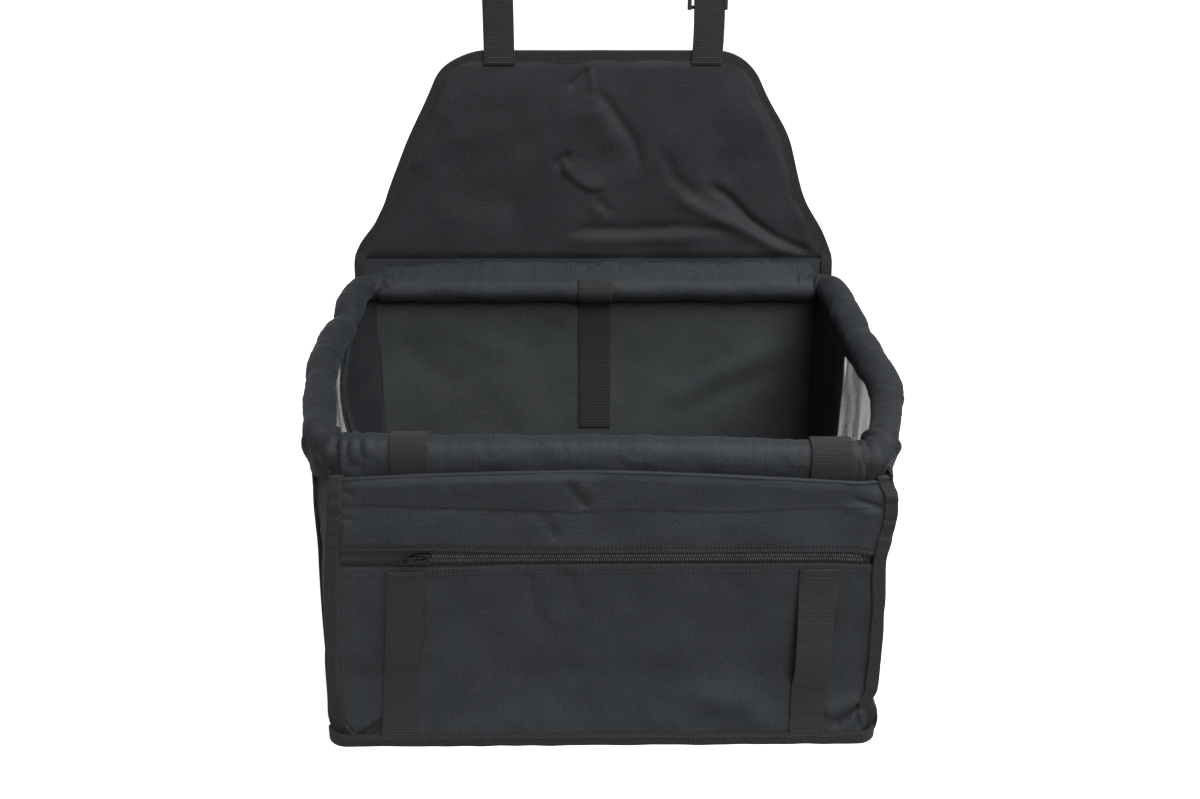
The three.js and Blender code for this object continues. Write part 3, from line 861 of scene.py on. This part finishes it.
# ---- the rim ----
BACK_CENTRE, BACK_R = (153.5, 225.5), 11  # of the back sleeve's round part, as y and z
BACK_REACH = 187  # its half length: it covers the rear ends of the side sleeves
APEX = math.radians(54.2)  # direction from there to the seam with the flap
APEX_SPREAD = math.radians(64.6)
SLEEVE_SIDES = 56
SHOULDER = 0.55  # of the front sleeve, which the bands pull square


def section(turn, r, tail, out, shoulder=1.0):
    """Sideways and upward offsets of a sleeve: round, with a tail that reaches out and down to its seam.

    The cloth hangs straight from the pipe's outer side down to the seam.
    A shoulder below 1 squares its upper side.
    """
    cos, sin = np.cos(turn), np.sin(turn)
    share = np.clip(-sin, 0, 1)
    low = share**3
    tail = np.maximum(tail, r)
    side = r * cos * (1 - 0.75 * low) + out * low
    side = np.where((cos > 0) & (sin >= 0), r * np.clip(cos, 0, 1) ** shoulder, side)
    rise = r * sin * (1 - low) - tail * low
    hangs = (cos > 0) & (sin < 0)
    return np.where(hangs, r + (out - r) * share, side), np.where(hangs, -tail * share, rise)


def peaked(turn, r, amount):
    """Radius of a sleeve whose cloth runs straight up to a seam in the direction of APEX."""
    way = (turn - APEX + math.pi) % (2 * math.pi) - math.pi
    off = np.minimum(np.abs(np.abs(way) - APEX_SPREAD), APEX_SPREAD)
    return np.where(np.abs(way) < APEX_SPREAD, r + amount * (r / np.cos(off) - r), r)


def sleeve(name, centre, outward, radius, tail, out, gather, seed, peak=0, shoulder=1.0, look=OXFORD):
    """A fabric sleeve round the rim pipe. gather is the depth of its ring wrinkles along the way."""
    across = np.cross(unit(np.gradient(centre, axis=0)), [0, 0, 1.0]) * outward
    turn, at = grid(np.linspace(0, 2 * math.pi, SLEEVE_SIDES + 1), distances(centre))
    around = 16 * np.sin(turn + 0.4)
    rings = 2 * np.abs(ripples(at, around, 16, seed, stretch=3)) - 1
    r = radius + gather * rings + 0.5 * ripples(at, around, 38, seed + 1)
    r = r - 0.35 * np.abs(ripples(at, around * 1.5, 24, seed + 2, stretch=1.5))
    r = peaked(turn, r, peak)
    side, rise = section(turn, r, tail, out, shoulder)
    points = centre[None] + across[None] * side[..., None] + np.array([0, 0, 1.0]) * rise[..., None]
    return tube(name, points[:-1], join(turn * SLEEVE_R, at), look)


def rim():
    front = smooth_line(FRONT_RIM, 1.3)
    x = front[:, 0]
    ends = smooth((34 - (RIM_STRAIGHT - np.abs(x))) / 34)
    tail = front[:, 2] - front_top(x) + 2.5
    gather = 0.16 + 1.9 * ends
    radius = SLEEVE_R + 0.3 * ends
    obj = sleeve("front_sleeve_cloth", front, 1, radius, tail, 10.4, gather, 81, shoulder=SHOULDER)
    on(obj, "rim", "front_rim_sleeve")
    back = smooth_line([(-BACK_REACH, *BACK_CENTRE), (0, *BACK_CENTRE), (BACK_REACH, *BACK_CENTRE)], 2.5)
    x = back[:, 0]
    tail = 16 + 0.8 * ripples(x, 0, 70, 93)
    peak = smooth((BACK_REACH + 3 - np.abs(x)) / 9) * (1 - 0.25 * smooth((-110 - x) / 50))
    obj = sleeve("back_sleeve_cloth", back, -1, BACK_R + 0.1, tail, 9, 0.08, 91, peak)
    hinged(obj, "rim", "flap", FLAP_BEND, "back_rim_sleeve")
    side_sleeves()
    rim_bands(front)
    x, z = np.array((-1, 0, 1)) * RIM_STRAIGHT, (227, 226, 227)
    pipes(front, smooth_line(join(x, RIM_BACK_Y, z), 3))


# Each side sleeve's radius and its seed, and its bulges (positive) and pinches, as height, y and width.
SIDE_SLEEVES = {
    "left": (12.0, 100, ((-3.2, 72, 12), (-1.0, 136, 6), (0.4, 104, 14), (-1.0, -44, 5))),
    "right": (12.6, 117, ((-1.6, 34, 8), (0.6, -44, 20), (-0.8, 100, 8), (-1.8, -112, 26))),
}


def side_sleeves():
    for side, s in SIDES:
        centre = rim_line(s)
        y = centre[:, 1]
        radius, seed, bulges = SIDE_SLEEVES[side]
        for height, middle, width in bulges:
            radius = radius + height * bump(y, middle, width)
        radius = radius - 2.6 * smooth((y - 141) / 7)
        gather = 0.16 + 2.1 * smooth((-126 - y) / 20) + 0.5 * smooth((y - 138) / 14)
        gather = gather + 0.4 * bump(y, -70 * s, 20)
        corner = smooth((-118 - y) / 26)
        tail, out = 14.5 + 5.5 * corner, 5 + 4 * corner
        obj = sleeve(f"{side}_sleeve_cloth", centre, s, radius, tail, out, gather, seed, look=SHADED_CLOTH)
        on(obj, "rim", f"{side}_rim_sleeve")


def rim_bands(front):
    """Webbing sewn round the front sleeve."""
    for side, x, width in (("left", -130, 26), ("right", 153, 28)):
        turn = np.linspace(math.pi * 1.3, -math.pi * 0.66, 60)
        z = np.interp(x, front[:, 0], front[:, 2])
        tail = z - front_top(x) + 2.5
        out, rise = section(turn, SLEEVE_R + 1.1, tail + 0.5, 11.5, SHOULDER)
        line = even(join(x, RIM_FRONT_Y - out, z + rise), 1.5)
        on(ribbon(f"{side}_band_webbing", line, (1, 0, 0), width, 1.4, STRAP_WEB), "rim", f"{side}_rim_band")


def pipes(front, back):
    """The plastic pipes inside the sleeves, and the bent pieces in their corners."""
    for end, line in (("front", front), ("back", back)):
        middle = line[np.abs(line[:, 0]) < 166]
        on(rod(f"{end}_pipe_tube", middle, PIPE_R, PIPE), "rim", f"{end}_rim_pipe")
    for side, s in SIDES:
        line = rim_line(s)
        y = line[:, 1]
        on(rod(f"{side}_pipe_tube", line[(y > -128) & (y < 130)], PIPE_R, PIPE), "rim", f"{side}_rim_pipe")
        for end, part, start in (("front", line[y < -118], front), ("back", line[y > 120][::-1], back)):
            lead = start[(start[:, 0] * s > 152) & (start[:, 0] * s < 171)][::s]
            obj = rod(f"{end}_{side}_bend", np.concatenate([lead, part]), ELBOW_R, PIPE)
            on(obj, "rim", f"{end}_{side}_elbow")


# ---- the flap ----
def flap_half(z, inset):
    """Half width at a height: sloping sides with rounded top corners, and straight below the hinge."""
    top = FLAP_TOP - inset
    r = FLAP_CORNER - inset
    turn = math.pi / 2 - math.atan(FLAP_SLOPE)
    spread = inset * math.hypot(1, FLAP_SLOPE)
    sloping = FLAP_HALF - FLAP_SLOPE * np.clip(z - FLAP_BOTTOM, 0, None) - spread
    centre = FLAP_HALF - FLAP_SLOPE * (top - FLAP_BOTTOM) - spread - r * math.tan(turn / 2)
    rise = np.clip(z - (top - r), 0, r)
    rounded = centre + np.sqrt(np.clip(r**2 - rise**2, 0, None))
    return np.where(z > top - r + r * math.cos(turn), rounded, sloping)


# The flap's folds, as the front's. The first few are the hooked and the long curved one in its middle.
FLAP_FOLDS = (
    (2.6, ((-22, 338), (-31, 334), (-36, 327)), 4, 0.2),
    (2.6, ((-3, 395), (8, 382), (20, 364), (31, 348), (35, 332), (31, 317)), 4.5),
    (-2.2, ((-6, 380), (6, 362), (16, 342)), 10),
    (2.2, ((-25, 394), (-14, 403), (-7, 411)), 3.5),
    (-1.6, ((-6, 410), (-4, 390)), 3),
    (1.6, ((0, 300), (12, 286)), 4),
    (-1.4, ((-8, 297), (4, 284)), 5),
    (2.2, ((54, 342), (66, 317), (86, 300)), 6),
    (5.2, ((93, 313), (111, 300), (130, 280), (153, 264), (188, 249)), 4.0, 0.15),
    (-4.2, ((66, 301), (94, 287), (121, 274), (149, 260), (176, 250)), 6.5, 0.2),
    (2.8, ((-34, 270), (-9, 273), (30, 272), (70, 275), (128, 270)), 4.5),
    (-1.8, ((-30, 262), (10, 263), (90, 264)), 5),
    (1.6, ((122, 398), (139, 369), (169, 314)), 3, 0.2),
    (-1.2, ((-106, 406), (-150, 333), (-179, 282)), 3, 0.2),
    (1.8, ((-130, 305), (-60, 296)), 18),
    (-1.7, ((-150, 320), (-120, 380)), 16),
)
FLAP_HOOK = ((-33, 333), (-30, 322), (-21, 313), (-8, 305), (9, 306))


def flap_dents(x, z):
    """Dents and folds in the flap's front, in mm: positive goes in."""
    d = 1.3 * ripples(x, z, 120, 7) + 0.4 * ripples(x, z, 45, 9)
    return 0.72 * creased(d - 4.2 * lip(x, z, FLAP_HOOK, 3.0, 13, 0.2), x, z, FLAP_FOLDS)


def outline(t, z, half):
    """x at a share t of a half width, with the gentle waves of the flap's two edges."""
    left = 5.2 * smooth((277 - z) / 24) - 1.2 * bump(z, 292, 12) + 1.4 * bump(z, 345, 24)
    left = left - 5 * smooth((z - 398) / 22) ** 2
    right = 4 * bump(z, 350, 24) - 3.6 * bump(z, 298, 22)
    return t * (half + np.where(t < 0, left, right))


def flap():
    """The padded flap, its edge tape and the plain strip below it."""
    v = 1 - (1 - span(0, 1, 1 / 80)) ** 1.2
    t, z = grid(span(-1, 1, 1 / 100), FLAP_FOOT + (FLAP_TOP - 3 - FLAP_FOOT) * v)
    x = outline(t, z, flap_half(z, 3))
    edge = smooth((1 - np.abs(t)) / 0.06) * smooth((FLAP_TOP - 3 - z) / 10) * smooth((z - 245) / 8)
    thicker = np.sqrt(np.clip((z - FLAP_FOOT) / 5, 0, 1))
    front_y = 172.2 - 1.5 * thicker + edge * (flap_dents(x, z) - 1.6)
    rear_y = 173.2 + 1.9 * thicker + edge * (1.0 + 0.8 * ripples(x, z, 110, 17))
    rear = join(x, np.maximum(rear_y, front_y + 1.0), z)
    obj = two_faced("flap_cloth", join(x, front_y, z), rear, join(x, z), SHADED_CLOTH)
    hinged(obj, "rim", "flap", FLAP_BEND, "flap_panel")
    flap_root()
    edging = flap_edge(FLAP_TAPE / 2 - 0.3)
    across = np.cross(unit(np.gradient(edging, axis=0)), [0, 1.0, 0])
    obj = ribbon("flap_edge_tape", edging, across, 9.6, 6.2, FLAP_EDGING)
    hinged(obj, "rim", "flap", FLAP_BEND, "flap_binding")
    inner = flap_edge(FLAP_TAPE - 1.4)
    inner = inner[inner[:, 2] > FLAP_BOTTOM + 3]
    for face, way in (("front", -1), ("rear", 1)):
        on(stitches(f"flap_edge_thread_{face}", inner + np.array([0, way * 3.1, 0]), (0, way, 0)), "flap")


def flap_root():
    """The cloth behind the back sleeve, which the flap bends from."""
    x, z = grid(span(-200, 198, 4), span(ROOT_BOTTOM, ROOT_TOP, 2))
    face = join(x, ROOT_Y + 0.3 * ripples(x, z, 60, 77), z)
    obj = shell("flap_root_cloth", face, join(x, z), 1.0, OXFORD, (0, -1, 0))
    hinged(obj, "rim", "flap", FLAP_BEND, "flap_root")


def flap_edge(inset):
    """The flap's outline at an inset, from its lower left round the top to its lower right."""
    turn = span(0.02, 1, 0.04) * math.pi / 2
    bend = 378  # where the sides' even steps end and the rounded top begins
    z = np.concatenate([span(228, bend, 4), bend + (FLAP_TOP - inset - bend) * np.sin(turn)])
    middle = FLAP_Y + FLAP_THICK / 2 - 2.6 * (1 - smooth((z - 240) / 12))
    left, right = (join(outline(t, z, flap_half(z, inset)), middle, z) for t in (-1, 1))
    line = even(np.concatenate([left, right[::-1]]), 2.5)
    line[:, 1] += 0.3 * ripples(line[:, 0], line[:, 2], 40, 23)
    line[:, 0] += 0.5 * ripples(line[:, 0], line[:, 2], 60, 27)
    return line


# ---- headrest straps and their buckle ----
# Each strap's x where it is sewn on, the height of its end, and how far it leans outward.
STRAPS = {"left": (-80, 492.5, 0.3), "right": (88.5, 500.5, 1.6)}
STRAP_FOOT, STRAP_Y = 413.5, 168.4


def headrest_straps():
    for side, s in SIDES:
        x0, top, lean = STRAPS[side]
        z = span(STRAP_FOOT, top, 2)
        t = (z - 412) / 80
        x = x0 + lean * s * t + (0.6 * np.sin(t * 5) if s > 0 else 0)
        line = join(x, STRAP_Y + 0.25 * np.sin(t * 7 + s), z)
        obj = ribbon(f"{side}_headrest_webbing", line, (1, 0, 0), WEBBING, 1.5, STRAP_WEB)
        hinged(obj, "flap", f"{side}_strap", STRAP_BEND, f"{side}_strap_anchor", f"{side}_headrest_strap")
        for row, height in (("a", 2), ("b", 6)):
            line = join(x0 + span(-10.5, 10.5, 3), STRAP_Y - 0.9, STRAP_FOOT + height)
            on(stitches(f"{side}_anchor_stitch_{row}", line, pitch=2.4), "flap")


# ---- hard parts ----
def rounded(name, body, material, radius):
    """A hard CAD part with its edges rounded off."""
    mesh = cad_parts[name].data.copy()
    work = bmesh.new()
    work.from_mesh(mesh)
    bmesh.ops.remove_doubles(work, verts=work.verts, dist=1e-6)
    bmesh.ops.dissolve_limit(work, angle_limit=math.radians(2), verts=work.verts, edges=work.edges)
    edges = [e for e in work.edges if len(e.link_faces) == 2 and e.calc_face_angle(0) > 0.6]
    bmesh.ops.bevel(
        work, geom=edges, offset=radius * 0.001, segments=3, profile=0.6, affect="EDGES", clamp_overlap=True
    )
    work.to_mesh(mesh)
    work.free()
    return on(as_piece(f"{name}_moulded", mesh, material, 40), body, name)


def hard_parts():
    rounded("buckle_socket", "left_strap", BUCKLE, 0.8)
    rounded("buckle_plug", "right_strap", BUCKLE, 0.45)
    rounded("strap_adjuster", "adjuster", BUCKLE, 0.4)
    rounded("zip_slider", "slider", GUNMETAL, 0.5)
    rounded("zip_pull", "pull", GUNMETAL, 0.25)
    for name, material in (("base_board", BOARD), ("zip_stop_left", GUNMETAL), ("zip_stop_right", GUNMETAL)):
        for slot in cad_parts[name].material_slots:
            slot.material = material


# ---- the bottom ----
def base_edge(x, y):
    """Pulls the base's outline in at its rounded corners."""
    over = smooth((np.abs(x) - 186) / 14) * smooth((np.abs(y) - 158) / 14)
    return x * (1 - 0.018 * over), y * (1 - 0.03 * over)


def bottom():
    x, y = base_edge(*grid(span(-199, 199, 8), span(-176, 174.6, 8)))
    obj = shell("floor_panel_cloth", join(x, y, 0 * x), join(x, y), 1.7, OXFORD, (0, 0, -1))
    on(obj, "base", "floor_panel")
    turn = np.linspace(0, math.pi / 2, 9)[:-1]
    straight, r = 184.5, 13
    for end, s, far in (("front", -1, 178.6), ("back", 1, 175.3)):
        y = s * (162.3 + r * np.sin(turn)) - 1.65 * (1 - s)
        bend = join(-straight - r * np.cos(turn), y, BASE_TAPE_Z)
        x = span(-straight, straight, 3)
        y = s * far + 0.4 * ripples(x, 0, 30, 5) * smooth((184 - np.abs(x)) / 10)
        line = np.concatenate([bend, join(x, y, BASE_TAPE_Z), (bend * np.array([-1, 1, 1]))[::-1]])
        tape(f"base_{end}_tape", line, (0, s, 0), f"base_binding_{end}")
    for side, s in SIDES:
        y = span(-161, 161, 3)
        x = s * (200.3 + 0.4 * ripples(y, 0, 30, 6) - 3.4 * smooth((np.abs(y) - 132) / 28))
        tape(f"base_{side}_tape", join(x, y, BASE_TAPE_Z), (s, 0, 0), f"base_binding_{side}")


def tape(name, line, out, node_name):
    """A binding on the bottom's edge, stitched near its top."""
    on(ribbon(name, line, (0, 0, 1), 9.4, 3.0, EDGE_TAPE), "base", node_name)
    straight = line[11:-11] + np.array(out) * 1.55 + np.array([0, 0, 2.8])
    on(stitches(f"{name}_thread", straight, out), "base")


def swell(obj, voxel, cap, floor):
    """Blows a closed cushion up with a cloth simulation. No point moves further than cap or below floor."""
    scene = bpy.context.scene
    remesh = obj.modifiers.new("voxels", "REMESH")
    remesh.voxel_size = voxel * 0.001
    settle(obj)
    still = coordinates(obj.data)
    cloth = obj.modifiers.new("swell", "CLOTH")
    cloth.settings.use_pressure = True
    cloth.settings.uniform_pressure_force = 4
    cloth.settings.effector_weights.gravity = 0
    for step in range(1, 21):
        scene.frame_set(step)
    settle(obj)
    scene.frame_set(1)
    move = coordinates(obj.data) - still
    far = np.linalg.norm(move, axis=1)[:, None]
    points = still + move * np.minimum(1, cap * 0.001 / np.maximum(far, 1e-9))
    points[:, 2] = np.maximum(points[:, 2], floor * 0.001)
    obj.data.vertices.foreach_set("co", points.ravel())
    obj.modifiers.new("round", "SUBSURF").levels = 1
    settle(obj)


def coordinates(mesh):
    points = np.empty(len(mesh.vertices) * 3)
    mesh.vertices.foreach_get("co", points)
    return points.reshape(-1, 3)


def settle(obj):
    """Makes what the modifiers give into the object's own mesh."""
    graph = bpy.context.evaluated_depsgraph_get()
    mesh = bpy.data.meshes.new_from_object(obj.evaluated_get(graph))
    obj.modifiers.clear()
    obj.data = mesh


def pad():
    """The padded mat, flat where it rests on the board and thin at its sewn edge."""
    u, v = grid(span(-1, 1, 1 / 50), span(-1, 1, 1 / 44))
    x, y = 183 * u, 156 * v
    inner = ((1 - np.abs(u) ** 10) * (1 - np.abs(v) ** 10)).clip(0, 1)
    low, high = 10.2, 11.8  # the sewn edge's lower and upper sides
    skin = Skin()
    skin.patch(join(x, y, high + 3.4 * inner**0.4), join(x, y))
    skin.patch(join(x, y, low - 3.2 * inner**0.25), join(x, y), flip=True)
    for edge in ((0,), (-1,), (slice(None), 0), (slice(None), -1)):
        skin.patch(np.stack([join(x[edge], y[edge], z) for z in (low, high)]))
    obj = skin.build("floor_pad_cushion", PADDING)
    swell(obj, 5, 3, 6.4)
    places = coordinates(obj.data)[:, :2]
    corners = np.empty(len(obj.data.loops), int)
    obj.data.loops.foreach_get("vertex_index", corners)
    layer = obj.data.uv_layers.get("cloth") or obj.data.uv_layers.new(name="cloth")
    layer.data.foreach_set("uv", places[corners].ravel())
    obj.data.shade_smooth()
    on(obj, "base", "floor_pad")


# ---- room, lights and camera ----
def floor_paint():
    """White paper that glows to the camera only, so that it stays white without lighting the cloth."""
    p = Paint("floor_white")
    seen = p.add("LightPath").outputs["Is Camera Ray"]
    shade = p.add("Mix", seen)
    shade.data_type = "RGBA"
    for socket, grey in ((6, 0.35), (7, 0.88)):
        shade.inputs[socket].default_value = (grey, grey, grey, 1)
    p.set(Base_Color=shade.outputs[2], Roughness=0.9)
    p.set(Emission_Color=(1, 1, 1, 1), Emission_Strength=p.math("MULTIPLY", seen, 0.75))
    return p.material


def room():
    mesh = bpy.data.meshes.new("studio_floor")
    corners = [(12.0 * x, 12.0 * y, 0) for x, y in ((-1, -1), (1, -1), (1, 1), (-1, 1))]
    mesh.from_pydata(corners, [], [(0, 1, 2, 3)])
    floor = put("studio_floor", mesh)
    mesh.materials.append(floor_paint())
    floor.location.z = -0.0005
    world = bpy.data.worlds.new("studio")
    world.use_nodes = True
    sky = world.node_tree.nodes["Background"].inputs
    sky[0].default_value = (1, 1, 1, 1)
    sky[1].default_value = 0.38
    bpy.context.scene.world = world
    lamp("key", "SUN", (0.2, -0.78, 0.59), 2.25, (0, 0, 0)).angle = math.radians(24)
    lamp("top", "AREA", (0.5, -0.36, 1.12), 13.5, (0, 0.05, 0.25)).size = 0.7


def lamp(name, kind, place, power, aim):
    light = bpy.data.lights.new(name, kind)
    light.energy = power
    obj = put(name, light)
    obj.location = place
    obj.rotation_euler = (Vector(aim) - Vector(place)).to_track_quat("-Z", "Y").to_euler()
    return light


CAMERA_TURN = (-0.96, 25.13, 0.23)  # azimuth, elevation and roll in degrees
CAMERA_AWAY = 1.1977  # metres from its target


def camera():
    azimuth, elevation, roll = (math.radians(a) for a in CAMERA_TURN)
    target = Vector((0.0001, 0, 0.1918))
    flat = math.cos(elevation)
    back = Vector((math.sin(azimuth) * flat, -math.cos(azimuth) * flat, math.sin(elevation)))
    right = (-back).cross(Vector((0, 0, 1))).normalized()
    up = right.cross(-back)
    x_axis = right * math.cos(roll) + up * math.sin(roll)
    y_axis = up * math.cos(roll) - right * math.sin(roll)
    data = bpy.data.cameras.new("camera")
    data.lens = 46.3
    data.sensor_width = 36
    data.clip_start = 0.05
    obj = put("camera", data)
    turn = Matrix((x_axis, y_axis, back)).transposed().to_4x4()
    obj.matrix_world = Matrix.Translation(target + back * CAMERA_AWAY) @ turn
    scene = bpy.context.scene
    scene.camera = obj
    scene.view_settings.view_transform = "Standard"
    scene.view_settings.look = "None"


camera()
room()
bottom()
pad()
front_panels()
front_bindings()
belt_straps()
zip_parts()
sides()
back_wall()
tether()
rim()
flap()
headrest_straps()
hard_parts()
